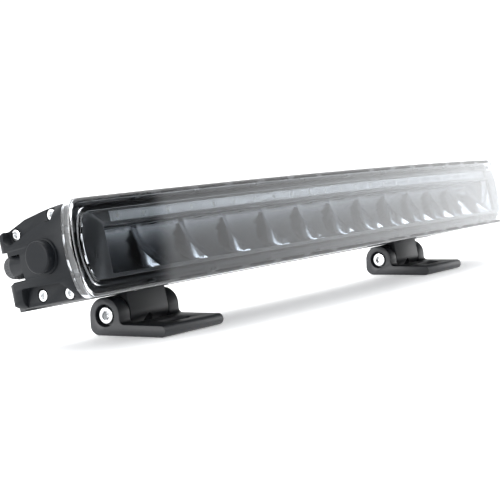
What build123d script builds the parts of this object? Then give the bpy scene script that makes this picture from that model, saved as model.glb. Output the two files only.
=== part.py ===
from build123d import *
import os
from math import cos, degrees, radians, sin

# LED light bar on two tilting, sliding feet. Millimetres, +Z up, lens faces -Y.
# The bar is an arc in plan, so most pieces are placed by three lengths:
#   arc     distance along the lens front line, 0 at the middle, + to the right
#   depth   distance back from the lens front, towards the arc's centre
#   height  distance above the bar's mid plane

# ---- Driving dimensions --------------------------------------------------------------
ARC_RADIUS = 2290.0  # lens front line in plan
TILT = 11.0  # degrees that the lens looks above level
LENS_FRONT_Y = -32.36  # lens front at mid length, in the part's frame

CELL_COUNT = 12
CELL_PITCH = 38.0

LENS_LENGTH = 501.0
LENS_HEIGHT = 46.0
LENS_WALL = 2.2
LENS_LEDGE_DEPTH = 2.2  # step from the raised window back to the ledge
LENS_RIM_DEPTH = 8.0
END_BOW = 4.5  # how far each end bulges between its corners
END_CORNER = 8.0
LEDGE_TOP = 4.7  # ledge width above and below the raised window
LEDGE_END = 3.4  # ledge width at the ends

GASKET_THICKNESS = 0.8
GASKET_WIDTH = 2.6
CAP_THICKNESS = 13.0
CAP_GASKET = 1.0
CAP_OVERHANG = 0.5  # lens past the cap at each end

BODY_HALF_HEIGHT = 22.2
BODY_WALL = 2.4
BODY_BACK = 46.0
SHOULDER_DEPTH = 36.0  # where the top starts to fall faster
SHOULDER_DROP = 2.8
BACK_DROP = 6.4

FIN_COUNT = 5
FIN_PITCH = 5.2
FIN_THICKNESS = 1.8
FIN_LENGTH = 8.0

CHANNEL_DEPTH = 51.5  # centre of the slide channel
CHANNEL_BLOCK = 16.0
CHANNEL_SLOT = 8.4
CHANNEL_CHAMBER = 12.0
CHANNEL_LIP = 2.8
CHANNEL_HEIGHT = 5.0
CHANNEL_ROOF = 2.6

FOOT_ARC = 157.0  # each foot from the middle, along the arc
FOOT_WIDTH = 53.0
FOOT_REACH = 37.0  # plate in front of the pivot
FOOT_THICKNESS = 5.8
EAR_THICKNESS = 9.2
EAR_RADIUS = 9.2
EAR_HEEL = 5.0
EAR_FILLET = 2.5
NOSE_RADIUS = 2.85
PIVOT_DEPTH = 55.7
EAR_GAP = 0.3  # from the ears up to the housing
PIVOT_HEIGHT = 10.0  # above the foot's underside
SLOT_LENGTH = 22.0
SLOT_WIDTH = 8.5
SLOT_AHEAD = 24.5

SCREW_M3 = 3.0
SCREW_M3_HEAD = 5.5
SCREW_M5 = 5.0
SCREW_M5_HEAD = 8.5
COUNTERBORE = 11.4
COUNTERBORE_DEPTH = 5.6

PARABOLA_FOCUS = 8.9
BOWL_CEILING = 8.4  # height of the bowls' axis
BOWL_FLOOR = -13.9
BOWL_VERTEX = 31.1  # depth of the bowls' deepest point

LED_SIZE = 3.4
LED_HEIGHT = 0.9
BOARD = 1.6
PAD = 0.5
SHELF = 2.8

GUIDE_LENGTH = 445.0
GUIDE_HEIGHT = 4.8
GUIDE_BOTTOM = 10.2
GUIDE_DEPTH = 4.4
POSITION_LEDS = 24

PLUG_DIAMETER = 15.2
PLUG_HEIGHT = 5.6
PLUG_DEPTH = 21.5
GLAND_HEIGHT = -1.0
GLAND_BOSS = 12.4
GLAND_BOSS_BACK = 46.2
GLAND_NUT = 11.2
GLAND_NUT_LENGTH = 4.5
CABLE = 6.5

CLEAR = 0.2  # running and sliding gaps
SEAT = 0.1  # gap under a head or washer that turns
TRIM = 1.0  # stock past a bowed end before it is trimmed

# ---- Worked out from them ------------------------------------------------------------
CELLS_LENGTH = CELL_COUNT * CELL_PITCH
CAP_OUTER = LENS_LENGTH / 2 - CAP_OVERHANG
CAP_INNER = CAP_OUTER - CAP_THICKNESS
BODY_HALF_LENGTH = CAP_INNER - CAP_GASKET
BODY_FRONT = LENS_RIM_DEPTH + GASKET_THICKNESS
SHOULDER = (SHOULDER_DEPTH, BODY_HALF_HEIGHT - SHOULDER_DROP)
BACK_TOP = BODY_HALF_HEIGHT - BACK_DROP
CHANNEL_LIP_TOP = -BODY_HALF_HEIGHT + CHANNEL_LIP
CHANNEL_TOP = CHANNEL_LIP_TOP + CHANNEL_HEIGHT
LED_BOARD_BOTTOM = BOWL_CEILING + 1.2
SHELF_BOTTOM = LED_BOARD_BOTTOM + BOARD + PAD
LED_DEPTH = BOWL_VERTEX - PARABOLA_FOCUS
PIVOT_DROP = BODY_HALF_HEIGHT + EAR_RADIUS + EAR_GAP  # below the bar's mid plane
FOOT_TURN = FOOT_ARC / ARC_RADIUS
PIVOT_BACK = ARC_RADIUS - (ARC_RADIUS - PIVOT_DEPTH) * cos(FOOT_TURN)
BAR_MID_Z = PIVOT_HEIGHT + PIVOT_BACK * sin(radians(TILT)) + PIVOT_DROP * cos(radians(TILT))
SIDES = ((-1, "left"), (1, "right"))

BAR = Plane(
    origin=(0, LENS_FRONT_Y, BAR_MID_Z),
    x_dir=(1, 0, 0),
    z_dir=(0, sin(radians(TILT)), cos(radians(TILT))),
)
ARC_AXIS = Axis(BAR.from_local_coords((0, ARC_RADIUS, 0)), BAR.z_dir)

# Screws of one end cap, as depth and height: top front, top rear, bottom rear, bottom front.
CAP_SCREWS = (
    (18.2, BODY_HALF_HEIGHT - 4.0),
    (43.8, BODY_HALF_HEIGHT - 8.8),
    (34.2, -BODY_HALF_HEIGHT + 5.2),
    (16.8, -BODY_HALF_HEIGHT + 3.6),
)
CAP_SCREW_SEAT = 4.0  # metal under each head


# ---- Planes and shared shapes --------------------------------------------------------
def section_at(arc):
    """Plane square to the arc: local X is depth, local Y height, normal to the right."""
    turn = arc / ARC_RADIUS
    square = Plane(
        origin=(ARC_RADIUS * sin(turn), ARC_RADIUS * (1 - cos(turn)), 0),
        x_dir=(-sin(turn), cos(turn), 0),
        z_dir=(cos(turn), sin(turn), 0),
    )
    return Plane(BAR.location * square.location)


def place(arc, depth, height):
    return section_at(arc).from_local_coords((depth, height, 0))


def rearward(arc, depth, height):
    """Plane that looks back from the lens: local X to the right, local Y down."""
    section = section_at(arc)
    return Plane(place(arc, depth, height), x_dir=section.z_dir, z_dir=section.x_dir)


def upward(arc, depth, height):
    """Plane that looks up: local X is depth."""
    section = section_at(arc)
    return Plane(place(arc, depth, height), x_dir=section.x_dir, z_dir=section.y_dir)


def rectangle(depth_from, depth_to, low, high, mode=Mode.ADD):
    """Rectangle in a section sketch, by its limits."""
    with Locations(((depth_from + depth_to) / 2, (low + high) / 2)):
        Rectangle(depth_to - depth_from, high - low, mode=mode)


def along_arc(half_length, depth_from, depth_to, low, high):
    """Strip of rectangular section that follows the arc."""
    with BuildPart() as strip:
        with BuildSketch(section_at(-half_length)):
            rectangle(depth_from, depth_to, low, high)
        revolve(axis=ARC_AXIS, revolution_arc=degrees(2 * half_length / ARC_RADIUS))
    return strip.part


def end_trim(side, half_length, half_height, bow, corner):
    """What lies outside a bowed, round-cornered end; cut from a piece that follows the arc."""
    section = section_at(side * half_length)
    face_on = Plane(section.origin, x_dir=section.z_dir * side, z_dir=section.x_dir * -side)
    inboard = 2 * half_height
    outboard = 4.0
    through = 1.6 * BODY_BACK
    with BuildPart() as outside:
        with BuildSketch(face_on):
            with Locations((outboard - inboard / 2, 0)):
                Rectangle(inboard + 2 * outboard, 2 * half_height)
        extrude(amount=through, both=True)
        with BuildSketch(face_on) as outline:
            with BuildLine():
                Polyline(
                    (-bow, -half_height),
                    (-2 * inboard, -half_height),
                    (-2 * inboard, half_height),
                    (-bow, half_height),
                )
                ThreePointArc((-bow, half_height), (0, 0), (-bow, -half_height))
            make_face()
            fillet(outline.vertices().group_by(Axis.X)[-1], radius=corner)
        extrude(amount=through, both=True, mode=Mode.SUBTRACT)
    return outside.part


def bowed_slab(half_length, half_height, depth_from, depth_to, corner=END_CORNER):
    """Slab across the lens opening, with bowed ends."""
    with BuildPart() as slab:
        add(along_arc(half_length + TRIM, depth_from, depth_to, -half_height, half_height))
        for side, _ in SIDES:
            add(end_trim(side, half_length, half_height, END_BOW, corner), mode=Mode.SUBTRACT)
    return slab.part


def save(piece, name):
    piece.part.label = name
    export_step(piece.part, f"parts/{name}.step")


os.makedirs("parts", exist_ok=True)

# ---- Lens and its seal ---------------------------------------------------------------
window_half_length = LENS_LENGTH / 2 - LEDGE_END
window_half_height = LENS_HEIGHT / 2 - LEDGE_TOP
window_corner = END_CORNER - 2
lens_edge = 1.6

with BuildPart() as lens:
    add(bowed_slab(LENS_LENGTH / 2, LENS_HEIGHT / 2, LENS_LEDGE_DEPTH, LENS_RIM_DEPTH))
    fillet(lens.faces().sort_by(Axis.Y)[0].edges(), radius=lens_edge)
    add(bowed_slab(window_half_length, window_half_height, 0, LENS_LEDGE_DEPTH + LENS_WALL, window_corner))
    add(
        bowed_slab(LENS_LENGTH / 2 - LENS_WALL, LENS_HEIGHT / 2 - LENS_WALL,
                   LENS_LEDGE_DEPTH + LENS_WALL, LENS_RIM_DEPTH, END_CORNER - LENS_WALL),
        mode=Mode.SUBTRACT,
    )
    add(
        bowed_slab(window_half_length - LENS_WALL, window_half_height - LENS_WALL,
                   LENS_WALL, LENS_RIM_DEPTH, window_corner - LENS_WALL),
        mode=Mode.SUBTRACT,
    )
save(lens, "lens")

with BuildPart() as lens_gasket:
    add(bowed_slab(CAP_OUTER, BODY_HALF_HEIGHT, LENS_RIM_DEPTH, BODY_FRONT))
    add(
        bowed_slab(CAP_OUTER - GASKET_WIDTH, BODY_HALF_HEIGHT - GASKET_WIDTH,
                   LENS_RIM_DEPTH, BODY_FRONT, END_CORNER - GASKET_WIDTH),
        mode=Mode.SUBTRACT,
    )
save(lens_gasket, "lens_gasket")

# ---- Housing -------------------------------------------------------------------------
screw_port = SCREW_M3_HEAD / 2 + 0.3
screw_hole_spare = 2.0  # past the end of a cap screw
flat_top = 5.0  # level strip behind the seal, before the top starts to fall
shelf_front = 14.0
cap_screw_arc = CAP_INNER + CAP_SCREW_SEAT
cap_screw_length = CAP_SCREW_SEAT + CAP_GASKET + 8.0  # 8 in the housing

with BuildPart() as housing:
    with BuildSketch(section_at(-BODY_HALF_LENGTH)):
        with BuildLine():
            Polyline(
                (BODY_FRONT, -BODY_HALF_HEIGHT),
                (BODY_BACK, -BODY_HALF_HEIGHT),
                (BODY_BACK, BACK_TOP),
                SHOULDER,
                (BODY_FRONT + flat_top, BODY_HALF_HEIGHT),
                (BODY_FRONT, BODY_HALF_HEIGHT),
                close=True,
            )
        make_face()
        with BuildLine():
            Polyline(
                (BODY_FRONT, -BODY_HALF_HEIGHT + BODY_WALL),
                (BODY_BACK - BODY_WALL, -BODY_HALF_HEIGHT + BODY_WALL),
                (BODY_BACK - BODY_WALL, BACK_TOP - BODY_WALL),
                (SHOULDER[0] - BODY_WALL / 2, SHOULDER[1] - BODY_WALL),
                (BODY_FRONT + flat_top, BODY_HALF_HEIGHT - BODY_WALL),
                (BODY_FRONT, BODY_HALF_HEIGHT - BODY_WALL),
                close=True,
            )
        make_face(mode=Mode.SUBTRACT)
        rectangle(shelf_front, BODY_BACK, SHELF_BOTTOM, SHELF_BOTTOM + SHELF)
        for fin in range(FIN_COUNT):
            middle = BACK_TOP - FIN_THICKNESS / 2 - fin * FIN_PITCH
            rectangle(
                BODY_BACK, BODY_BACK + FIN_LENGTH,
                middle - FIN_THICKNESS / 2, middle + FIN_THICKNESS / 2,
            )
        rectangle(
            CHANNEL_DEPTH - CHANNEL_BLOCK / 2, CHANNEL_DEPTH + CHANNEL_BLOCK / 2,
            -BODY_HALF_HEIGHT, CHANNEL_TOP + CHANNEL_ROOF,
        )
        rectangle(
            CHANNEL_DEPTH - CHANNEL_SLOT / 2, CHANNEL_DEPTH + CHANNEL_SLOT / 2,
            -BODY_HALF_HEIGHT, CHANNEL_LIP_TOP, mode=Mode.SUBTRACT,
        )
        rectangle(
            CHANNEL_DEPTH - CHANNEL_CHAMBER / 2, CHANNEL_DEPTH + CHANNEL_CHAMBER / 2,
            CHANNEL_LIP_TOP, CHANNEL_TOP, mode=Mode.SUBTRACT,
        )
        with Locations(*CAP_SCREWS):
            Circle(screw_port)
    revolve(axis=ARC_AXIS, revolution_arc=degrees(2 * BODY_HALF_LENGTH / ARC_RADIUS))
    for side, _ in SIDES:
        with BuildSketch(section_at(side * cap_screw_arc)):
            with Locations(*CAP_SCREWS):
                Circle(SCREW_M3 / 2)
        extrude(amount=-side * (cap_screw_length + screw_hole_spare), mode=Mode.SUBTRACT)
save(housing, "housing")

# ---- Lamp inside ---------------------------------------------------------------------
bezel_back = 5.6
bezel_front = LENS_LEDGE_DEPTH + 1.2
bezel_inset = LENS_WALL + 0.4  # from the raised window's outer faces
reflector_half_length = CELLS_LENGTH / 2 + 3.0
reflector_floor = 1.3
reflector_back = BOWL_VERTEX + 1.4
reflector_slope = (BOWL_VERTEX - 5.0, BOWL_CEILING - 14.0)  # depth and height of its lower rear corner

with BuildPart() as bezel:
    add(bowed_slab(window_half_length - bezel_inset, window_half_height - bezel_inset,
                   bezel_front, bezel_back, window_corner - LENS_WALL))
    add(along_arc(CELLS_LENGTH / 2, 0, BODY_FRONT, BOWL_FLOOR, BOWL_CEILING), mode=Mode.SUBTRACT)
    add(
        along_arc(GUIDE_LENGTH / 2 + CLEAR, 0, BODY_FRONT, GUIDE_BOTTOM - CLEAR,
                  GUIDE_BOTTOM + GUIDE_HEIGHT + CLEAR),
        mode=Mode.SUBTRACT,
    )
save(bezel, "bezel")


def bowl(arc):
    """Half of a paraboloid that opens forward, cut to the width and height of one cell."""
    reach = 31.0
    rim = BOWL_VERTEX - reach**2 / (4 * PARABOLA_FOCUS)
    section = section_at(arc)
    with BuildPart() as hollow:
        with BuildSketch(section):
            with BuildLine():
                Bezier(
                    (BOWL_VERTEX, BOWL_CEILING),
                    (BOWL_VERTEX, BOWL_CEILING - reach / 2),
                    (rim, BOWL_CEILING - reach),
                )
                Polyline(
                    (rim, BOWL_CEILING - reach),
                    (rim, BOWL_CEILING),
                    (BOWL_VERTEX, BOWL_CEILING),
                )
            make_face()
        revolve(axis=Axis(place(arc, 0, BOWL_CEILING), section.x_dir))
        with BuildSketch(section):
            rectangle(0, BOWL_VERTEX + TRIM, BOWL_FLOOR, BOWL_CEILING + TRIM)
        extrude(amount=CELL_PITCH / 2, both=True, mode=Mode.INTERSECT)
    return hollow.part


with BuildPart() as reflector:
    with BuildSketch(section_at(-reflector_half_length)):
        with BuildLine():
            Polyline(
                (bezel_back, BOWL_FLOOR - reflector_floor),
                (reflector_slope[0], BOWL_FLOOR - reflector_floor),
                (reflector_back, reflector_slope[1]),
                (reflector_back, BOWL_CEILING),
                (bezel_back, BOWL_CEILING),
                close=True,
            )
        make_face()
    revolve(axis=ARC_AXIS, revolution_arc=degrees(2 * reflector_half_length / ARC_RADIUS))
    for cell in range(CELL_COUNT):
        add(bowl((cell - (CELL_COUNT - 1) / 2) * CELL_PITCH), mode=Mode.SUBTRACT)
save(reflector, "reflector")

cell_arcs = [(cell - (CELL_COUNT - 1) / 2) * CELL_PITCH for cell in range(CELL_COUNT)]

led_window = LED_SIZE + 2

with BuildPart() as led_mask:
    add(along_arc(reflector_half_length, shelf_front, reflector_back, BOWL_CEILING, LED_BOARD_BOTTOM))
    for arc in cell_arcs:
        with BuildSketch(upward(arc, LED_DEPTH, BOWL_CEILING)):
            Rectangle(led_window, led_window)
        extrude(amount=LED_BOARD_BOTTOM - BOWL_CEILING, mode=Mode.SUBTRACT)
save(led_mask, "led_mask")

with BuildPart() as led_board:
    add(along_arc(reflector_half_length, shelf_front, reflector_back,
                  LED_BOARD_BOTTOM, LED_BOARD_BOTTOM + BOARD))
save(led_board, "led_board")

with BuildPart() as leds:
    for arc in cell_arcs:
        with BuildSketch(upward(arc, LED_DEPTH, LED_BOARD_BOTTOM)):
            Rectangle(LED_SIZE, LED_SIZE)
        extrude(amount=-LED_HEIGHT)
save(leds, "leds")

with BuildPart() as thermal_pad:
    add(along_arc(reflector_half_length, shelf_front, reflector_back,
                  SHELF_BOTTOM - PAD, SHELF_BOTTOM))
save(thermal_pad, "thermal_pad")

with BuildPart() as light_guide:
    add(along_arc(GUIDE_LENGTH / 2, bezel_front, bezel_front + GUIDE_DEPTH,
                  GUIDE_BOTTOM, GUIDE_BOTTOM + GUIDE_HEIGHT))
save(light_guide, "light_guide")

position_led_depth = bezel_front + GUIDE_DEPTH
position_board_depth = position_led_depth + LED_HEIGHT
guide_middle = GUIDE_BOTTOM + GUIDE_HEIGHT / 2

with BuildPart() as position_leds:
    for step in range(POSITION_LEDS):
        arc = (step - (POSITION_LEDS - 1) / 2) * GUIDE_LENGTH / POSITION_LEDS
        with BuildSketch(rearward(arc, position_led_depth, guide_middle)):
            Rectangle(LED_SIZE / 2, LED_SIZE / 2)
        extrude(amount=LED_HEIGHT)
save(position_leds, "position_leds")

with BuildPart() as position_board:
    add(along_arc(GUIDE_LENGTH / 2, position_board_depth, position_board_depth + BOARD,
                  BOWL_CEILING + 0.2, GUIDE_BOTTOM + GUIDE_HEIGHT + 1))
save(position_board, "position_board")

# ---- Driver, behind the left half of the reflector -------------------------------------
driver_arc = -150.0
driver_length = 100.0
driver_depth = 38.5
driver_low = -12.0
driver_high = 8.0
driver = rearward(driver_arc, driver_depth, (driver_low + driver_high) / 2)
# Parts on the board: places along it from its middle, sizes and heights.
coils_at = (-16.0, 2.0)
coil_size = 11.0
coil_corner = 1.5
coil_height = 3.2
capacitors_at = 25.0
capacitor_pitch = (9.0, 8.0)
capacitor_size = 6.0
capacitor_height = 3.6
chip_at = 42.0
chip_size = 7.0
chip_height = 1.2

with BuildPart() as driver_board:
    with BuildSketch(driver):
        Rectangle(driver_length, driver_high - driver_low)
    extrude(amount=BOARD)
save(driver_board, "driver_board")

with BuildPart() as driver_coils:
    with BuildSketch(driver):
        with Locations(*[(at, 0) for at in coils_at]):
            RectangleRounded(coil_size, coil_size, coil_corner)
    extrude(amount=-coil_height)
save(driver_coils, "driver_coils")

with BuildPart() as driver_capacitors:
    with BuildSketch(driver):
        with GridLocations(*capacitor_pitch, 2, 2):
            with Locations((capacitors_at, 0)):
                Circle(capacitor_size / 2)
    extrude(amount=-capacitor_height)
save(driver_capacitors, "driver_capacitors")

with BuildPart() as driver_chip:
    with BuildSketch(driver):
        with Locations((chip_at, 0)):
            Rectangle(chip_size, chip_size)
    extrude(amount=-chip_height)
save(driver_chip, "driver_chip")

connector_length = 8.0
connector_height = 4.6
wire_pitch = 4.0
connector_edge = -driver_length / 2

with BuildPart() as wire_connector:
    with BuildSketch(driver):
        with Locations((connector_edge + connector_length / 2, 0)):
            Rectangle(connector_length, 2 * wire_pitch)
    extrude(amount=-connector_height)
save(wire_connector, "wire_connector")

# ---- End caps, with their seals, screws and plugs ------------------------------------------
notch_low = GLAND_HEIGHT - GLAND_BOSS / 2 - 1.0
notch_high = GLAND_HEIGHT + GLAND_BOSS / 2 + 0.6
cap_outline = (
    (BODY_FRONT, -BODY_HALF_HEIGHT),
    (34, -BODY_HALF_HEIGHT + 0.2),
    (49.5, -BODY_HALF_HEIGHT + 0.8),
    (55.2, -BODY_HALF_HEIGHT + 6.7),
    (55.2, notch_low - 1.8),
    (BODY_BACK, notch_low),
    (BODY_BACK, notch_high),
    (54.8, notch_high + 0.8),
    (54.8, BODY_HALF_HEIGHT - 10.2),
    (49.5, BODY_HALF_HEIGHT - 6.8),
    SHOULDER,
    (BODY_FRONT + flat_top, BODY_HALF_HEIGHT),
    (BODY_FRONT, BODY_HALF_HEIGHT),
)
lobe_corner = 1.8
lobe_stock = 2 * TRIM
socket_m3 = 1.6  # depth of the key socket
# Each lobe's outer rear corner: heights from and to, depth of its back, distance in from the tip, radius.
lobe_rounds = ((0, 25, 54.85, 0.8, 8.0), (-25, 0, 55.25, 2.0, 9.0))
# Ledges that the screws sit on, and how far they are above the screws' seats.
upper_ledge = (
    (14.5, BODY_HALF_HEIGHT - 4.2),
    (42.5, BODY_HALF_HEIGHT - 13.0),
    CAP_SCREWS[1],
    (48.2, BODY_HALF_HEIGHT - 8.8),
    (48.2, BODY_HALF_HEIGHT + TRIM),
    (14.5, BODY_HALF_HEIGHT + TRIM),
)
upper_ledge_end = 4.4
lower_ledge = (
    (12.5, -BODY_HALF_HEIGHT - TRIM),
    (12.5, -BODY_HALF_HEIGHT + 4.2),
    (17.5, -BODY_HALF_HEIGHT + 9.2),
    (42.5, -BODY_HALF_HEIGHT + 10.2),
    (44.8, -BODY_HALF_HEIGHT + 3.2),
    (44.8, -BODY_HALF_HEIGHT - TRIM),
)
lower_ledge_corner = 1.6
ledge_rise = 3.0
head_room = 0.5
lobe_filleted_past = 47.0  # depth
cap_pocket = (14.0, 36.0, -8.5, 7.5)  # depth from and to, height from and to
cap_wall = 6.0
gasket_window = (BODY_FRONT, 37.0, -9.5, 8.5)
boss_front = 30.0
notch_base = 4.5  # cap left under the notch that the gland's boss stands in
gland_notch = (38.0, BODY_BACK + 0.5, notch_low, GLAND_HEIGHT + 5.0)
plug_seat = 1.2  # the plug's boss stands this far out of the cap
plug_boss_depth = 3.0
plug_boss_rim = 0.8
plug_shank = 8.0
plug_shank_length = 4.5
plug_play = 0.05
gland_bore = 8.0
gland_arc = CAP_INNER + GLAND_BOSS / 2 + CLEAR

for side, name in SIDES:
    plug_plane = section_at(side * (CAP_OUTER + plug_seat))
    screw_plane = section_at(side * cap_screw_arc)

    with BuildPart() as end_cap:
        with BuildSketch(section_at(min(side * CAP_INNER, side * (CAP_OUTER + TRIM)))) as outline:
            with BuildLine():
                Polyline(*cap_outline, close=True)
            make_face()
            lobe_corners = outline.vertices().filter_by(lambda corner: corner.X > lobe_filleted_past)
            fillet(lobe_corners, radius=lobe_corner)
        revolve(axis=ARC_AXIS, revolution_arc=degrees((CAP_THICKNESS + TRIM) / ARC_RADIUS))
        add(end_trim(side, CAP_OUTER, BODY_HALF_HEIGHT, END_BOW, END_CORNER), mode=Mode.SUBTRACT)
        for low, high, back, inset, radius in lobe_rounds:
            with BuildSketch(upward(side * (CAP_OUTER - inset), back - radius, low)):
                with Locations(((radius + lobe_stock) / 2, side * (radius - lobe_stock) / 2)):
                    Rectangle(radius + lobe_stock, radius + lobe_stock)
                with Locations((0, side * radius)):
                    Circle(radius, mode=Mode.SUBTRACT)
            extrude(amount=high - low, mode=Mode.SUBTRACT)
        with BuildSketch(section_at(side * (cap_screw_arc + ledge_rise))):
            with BuildLine():
                Polyline(*upper_ledge, close=True)
            make_face()
            with Locations(CAP_SCREWS[1]):
                Circle(upper_ledge_end)
        extrude(amount=side * CAP_THICKNESS, mode=Mode.SUBTRACT)
        with BuildSketch(section_at(side * (cap_screw_arc + ledge_rise))) as ledge:
            with BuildLine():
                Polyline(*lower_ledge, close=True)
            make_face()
            inner = ledge.vertices().filter_by(lambda corner: corner.Y > -BODY_HALF_HEIGHT + TRIM)
            fillet(inner.sort_by(Axis.X)[1:], radius=lower_ledge_corner)
        extrude(amount=side * CAP_THICKNESS, mode=Mode.SUBTRACT)
        with BuildSketch(screw_plane):
            with Locations(*CAP_SCREWS):
                Circle(SCREW_M3_HEAD / 2 + head_room)
        extrude(amount=side * CAP_THICKNESS, mode=Mode.SUBTRACT)
        with BuildSketch(screw_plane):
            with Locations(*CAP_SCREWS):
                Circle(SCREW_M3 / 2 + CLEAR)
        extrude(amount=CAP_THICKNESS, both=True, mode=Mode.SUBTRACT)
        with BuildSketch(plug_plane):
            with Locations((PLUG_DEPTH, 0)):
                Circle(PLUG_DIAMETER / 2 + plug_boss_rim)
        extrude(amount=-side * (plug_boss_depth + plug_seat))
        with BuildSketch(section_at(side * (CAP_INNER + notch_base))):
            rectangle(*gland_notch)
        extrude(amount=side * CAP_THICKNESS, mode=Mode.SUBTRACT)
        with BuildSketch(rearward(side * gland_arc, boss_front, GLAND_HEIGHT)):
            Circle(GLAND_BOSS / 2)
        extrude(amount=GLAND_BOSS_BACK - boss_front)
        with BuildSketch(section_at(side * CAP_INNER)):
            rectangle(*cap_pocket)
        extrude(amount=side * (CAP_THICKNESS - cap_wall), mode=Mode.SUBTRACT)
        with BuildSketch(rearward(side * gland_arc, GLAND_BOSS_BACK, GLAND_HEIGHT)):
            Circle(gland_bore / 2)
        extrude(amount=cap_pocket[1] - TRIM - GLAND_BOSS_BACK, mode=Mode.SUBTRACT)
        with BuildSketch(plug_plane):
            with Locations((PLUG_DEPTH, 0)):
                Circle(plug_shank / 2)
        extrude(amount=-side * (plug_shank_length + 0.5), mode=Mode.SUBTRACT)
    save(end_cap, f"end_cap_{name}")

    with BuildPart() as cap_gasket:
        with BuildSketch(section_at(min(side * BODY_HALF_LENGTH, side * CAP_INNER))):
            with BuildLine():
                Polyline(
                    (BODY_FRONT, -BODY_HALF_HEIGHT),
                    (BODY_BACK, -BODY_HALF_HEIGHT),
                    (BODY_BACK, BACK_TOP),
                    SHOULDER,
                    (BODY_FRONT + flat_top, BODY_HALF_HEIGHT),
                    (BODY_FRONT, BODY_HALF_HEIGHT),
                    close=True,
                )
            make_face()
            rectangle(*gasket_window, mode=Mode.SUBTRACT)
            with Locations(*CAP_SCREWS):
                Circle(SCREW_M3 / 2 + CLEAR, mode=Mode.SUBTRACT)
        revolve(axis=ARC_AXIS, revolution_arc=degrees(CAP_GASKET / ARC_RADIUS))
    save(cap_gasket, f"cap_gasket_{name}")

    with BuildPart() as cap_screws:
        with BuildSketch(screw_plane):
            with Locations(*CAP_SCREWS):
                Circle(SCREW_M3_HEAD / 2)
        extrude(amount=side * SCREW_M3)
        with BuildSketch(screw_plane):
            with Locations(*CAP_SCREWS):
                Circle(SCREW_M3 / 2)
        extrude(amount=-side * cap_screw_length)
        with BuildSketch(screw_plane.offset(side * SCREW_M3)):
            with Locations(*CAP_SCREWS):
                RegularPolygon(SCREW_M3_HEAD / 4, 6)
        extrude(amount=-side * socket_m3, mode=Mode.SUBTRACT)
    save(cap_screws, f"cap_screws_{name}")

    with BuildPart() as side_plug:
        with BuildSketch(plug_plane):
            with Locations((PLUG_DEPTH, 0)):
                Circle(PLUG_DIAMETER / 2)
        extrude(amount=side * (PLUG_HEIGHT - plug_seat))
        with BuildSketch(plug_plane):
            with Locations((PLUG_DEPTH, 0)):
                Circle(plug_shank / 2 - plug_play)
        extrude(amount=-side * plug_shank_length)
    save(side_plug, f"side_plug_{name}")

# ---- Cable gland on the left cap, breather on the right -------------------------------------
gland_collar = 1.0
gland_wall = 1.0
nut_floor = 2.0
seal_length = GLAND_NUT_LENGTH - nut_floor
seal_wall = 0.9  # round the widest cable it takes
cable_gap = 0.15  # before the nut is tightened
spigot_length = 8.0
breather_length = 3.0
breather_hole = 3.0

with BuildPart() as gland_body:
    with BuildSketch(rearward(-gland_arc, GLAND_BOSS_BACK, GLAND_HEIGHT)):
        Circle(GLAND_BOSS / 2)
    extrude(amount=gland_collar)
    with BuildSketch(rearward(-gland_arc, GLAND_BOSS_BACK + gland_collar, GLAND_HEIGHT)):
        Circle(GLAND_NUT / 2 - gland_wall)
    extrude(amount=seal_length)
    with BuildSketch(rearward(-gland_arc, GLAND_BOSS_BACK, GLAND_HEIGHT)):
        Circle(gland_bore / 2)
    extrude(amount=-spigot_length)
    with BuildSketch(rearward(-gland_arc, GLAND_BOSS_BACK - spigot_length, GLAND_HEIGHT)):
        Circle(CABLE / 2 + cable_gap)
    extrude(amount=spigot_length + gland_collar + GLAND_NUT_LENGTH, mode=Mode.SUBTRACT)
    with BuildSketch(rearward(-gland_arc, GLAND_BOSS_BACK + gland_collar, GLAND_HEIGHT)):
        Circle(CABLE / 2 + seal_wall)
    extrude(amount=GLAND_NUT_LENGTH, mode=Mode.SUBTRACT)
save(gland_body, "gland_body")

with BuildPart() as gland_seal:
    with BuildSketch(rearward(-gland_arc, GLAND_BOSS_BACK + gland_collar, GLAND_HEIGHT)):
        Circle(CABLE / 2 + seal_wall)
        Circle(CABLE / 2 + cable_gap, mode=Mode.SUBTRACT)
    extrude(amount=seal_length)
save(gland_seal, "gland_seal")

with BuildPart() as gland_nut:
    with BuildSketch(rearward(-gland_arc, GLAND_BOSS_BACK + gland_collar, GLAND_HEIGHT)):
        Circle(GLAND_NUT / 2)
        Circle(GLAND_NUT / 2 - gland_wall, mode=Mode.SUBTRACT)
    extrude(amount=GLAND_NUT_LENGTH)
    with BuildSketch(rearward(-gland_arc, GLAND_BOSS_BACK + gland_collar + seal_length, GLAND_HEIGHT)):
        Circle(GLAND_NUT / 2 - gland_wall)
        Circle(CABLE / 2 + cable_gap, mode=Mode.SUBTRACT)
    extrude(amount=nut_floor)
save(gland_nut, "gland_nut")

with BuildPart() as breather:
    with BuildSketch(rearward(gland_arc, GLAND_BOSS_BACK, GLAND_HEIGHT)):
        Circle(GLAND_NUT / 2)
    extrude(amount=breather_length)
    with BuildSketch(rearward(gland_arc, GLAND_BOSS_BACK, GLAND_HEIGHT)):
        Circle(gland_bore / 2)
    extrude(amount=-spigot_length)
    with BuildSketch(rearward(gland_arc, GLAND_BOSS_BACK - spigot_length, GLAND_HEIGHT)):
        Circle(breather_hole / 2)
    extrude(amount=spigot_length + 1, mode=Mode.SUBTRACT)
save(breather, "breather")

# ---- Wires from the left cap to the driver --------------------------------------------------
wire = 1.8
wire_in_cap = 4.0
wire_length = CAP_INNER + wire_in_cap + driver_arc + connector_edge
wire_lift = -2.4  # in front of the driver board

for name, offset in (("wire_red", -wire_pitch / 2), ("wire_black", wire_pitch / 2)):
    start = driver.from_local_coords((connector_edge, offset, wire_lift))
    with BuildPart() as conductor:
        with BuildSketch(Plane(start, z_dir=-driver.x_dir)):
            Circle(wire / 2)
        extrude(amount=wire_length)
    save(conductor, name)

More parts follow.
